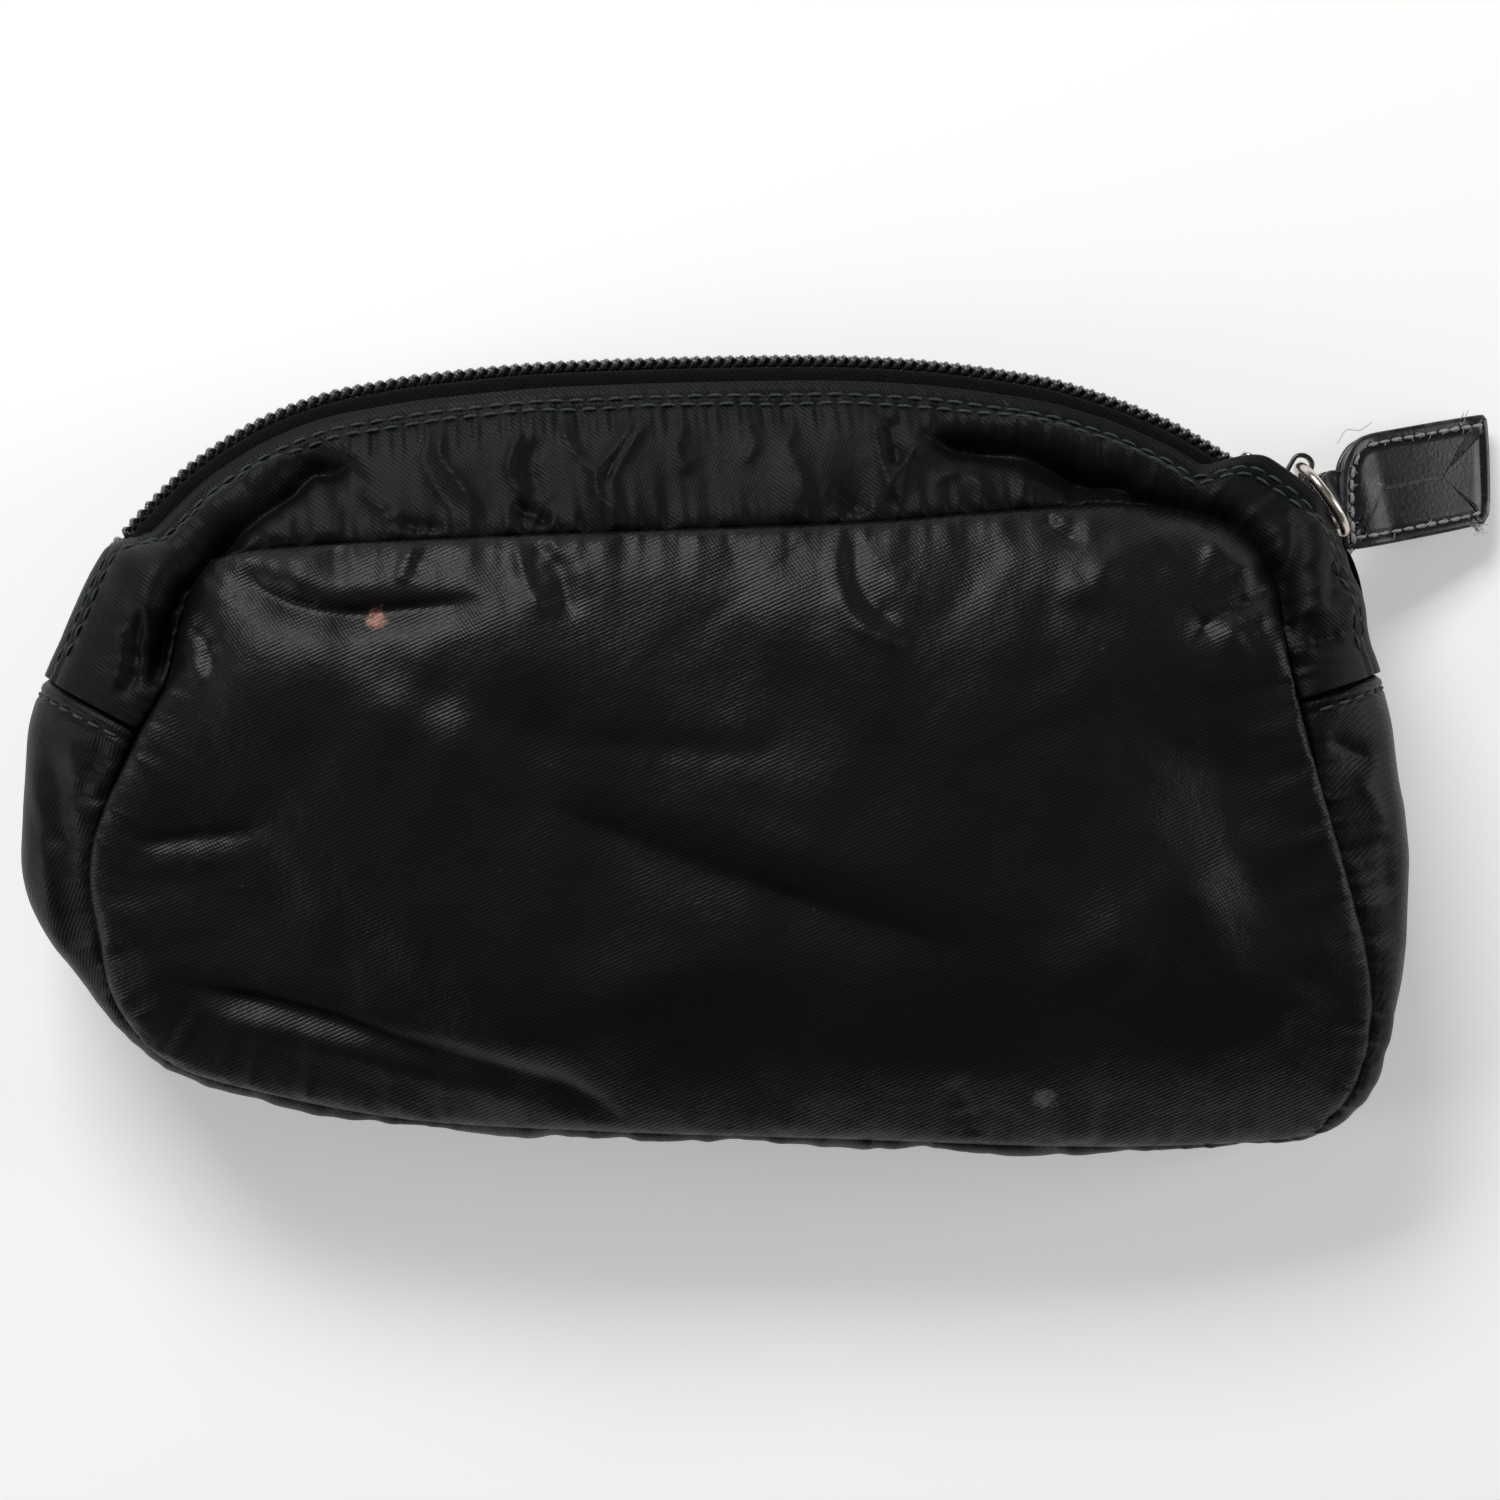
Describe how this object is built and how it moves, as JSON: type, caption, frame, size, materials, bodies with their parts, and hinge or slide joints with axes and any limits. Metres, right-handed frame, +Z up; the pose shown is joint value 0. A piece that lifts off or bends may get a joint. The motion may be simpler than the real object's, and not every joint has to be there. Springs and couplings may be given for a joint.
{
  "type": "zipped makeup bag",
  "caption": "Soft nylon makeup bag with a curved zip along the top, a domed front panel, puckered side gussets and a leather pull on a ring.",
  "frame": {"origin": "on the back panel's outer face, which is the resting face, under the middle of the bag", "axes": "+X along the bag towards the closed end of the zip, +Y across the front panel towards the zip, +Z up out of the front panel"},
  "size_m": [0.2321, 0.1273, 0.044],
  "materials": {
    "shell_nylon": "satin twill",
    "lining_fabric": "matt",
    "zip_tape": "matt woven",
    "zip_coil": "satin",
    "slider_metal": "gloss, worn to bright metal on its edges",
    "ring_metal": "polished",
    "tab_leather": "gloss coated",
    "shell_thread": "thread",
    "tab_thread": "worn thread",
    "seam_binding": "matt woven tape"
  },
  "bodies": {
    "bag": {"front_panel": "shell_nylon", "back_panel": "shell_nylon", "lower_gusset": "shell_nylon", "end_gusset_left": "shell_nylon", "end_gusset_right": "shell_nylon", "upper_gusset_back": "shell_nylon", "front_lining": "lining_fabric", "back_lining": "lining_fabric", "lower_lining": "lining_fabric", "upper_lining_back": "lining_fabric", "front_seam_binding": "seam_binding", "back_seam_binding": "seam_binding", "zip_topstitch_back": "shell_thread", "zip_tape_back": "zip_tape", "zip_coil_back": "zip_coil", "zip_bottom_stop": "slider_metal"},
    "mouth_front": {"upper_gusset_front": "shell_nylon", "upper_lining_front": "lining_fabric", "zip_topstitch_front": "shell_thread", "zip_tape_front": "zip_tape", "zip_coil_front": "zip_coil"},
    "slider": {"slider_body": "slider_metal", "slider_crown": "slider_metal"},
    "pull_ring": {"pull_ring": "ring_metal"},
    "pull_tab": {"tab_front_leather": "tab_leather", "tab_back_leather": "tab_leather", "tab_ring_loop": "tab_leather", "tab_stitches_upper": "tab_thread", "tab_stitches_lower": "tab_thread"}
  },
  "joints": [
    {"name": "zip_travel", "type": "hinge", "parent": "bag", "child": "slider", "pos_m": [0.001, -0.1178, 0.02], "axis": [0, 0, 1], "range_deg": [0, 55.5], "deforming": ["zip_tape_back", "zip_coil_back"]},
    {"name": "mouth_open", "type": "hinge", "parent": "bag", "child": "mouth_front", "pos_m": [0, 0.0356, 0.0372], "axis": [0.9987, 0.0506, 0], "range_deg": [0, 50], "deforming": ["upper_gusset_front", "zip_topstitch_front", "zip_tape_front", "zip_coil_front"]},
    {"name": "ring_flip", "type": "hinge", "parent": "slider", "child": "pull_ring", "pos_m": [0.09123, 0.045, 0.02], "axis": [0, 0, 1], "range_deg": [0, 110]},
    {"name": "tab_swing", "type": "hinge", "parent": "pull_ring", "child": "pull_tab", "pos_m": [0.0947, 0.04005, 0.0131], "axis": [0.5736, -0.8191, 0], "range_deg": [0, 60]}
  ],
  "couplings": [
    {"joint": "mouth_open", "follows": "zip_travel", "ratio": 0.9}
  ]
}
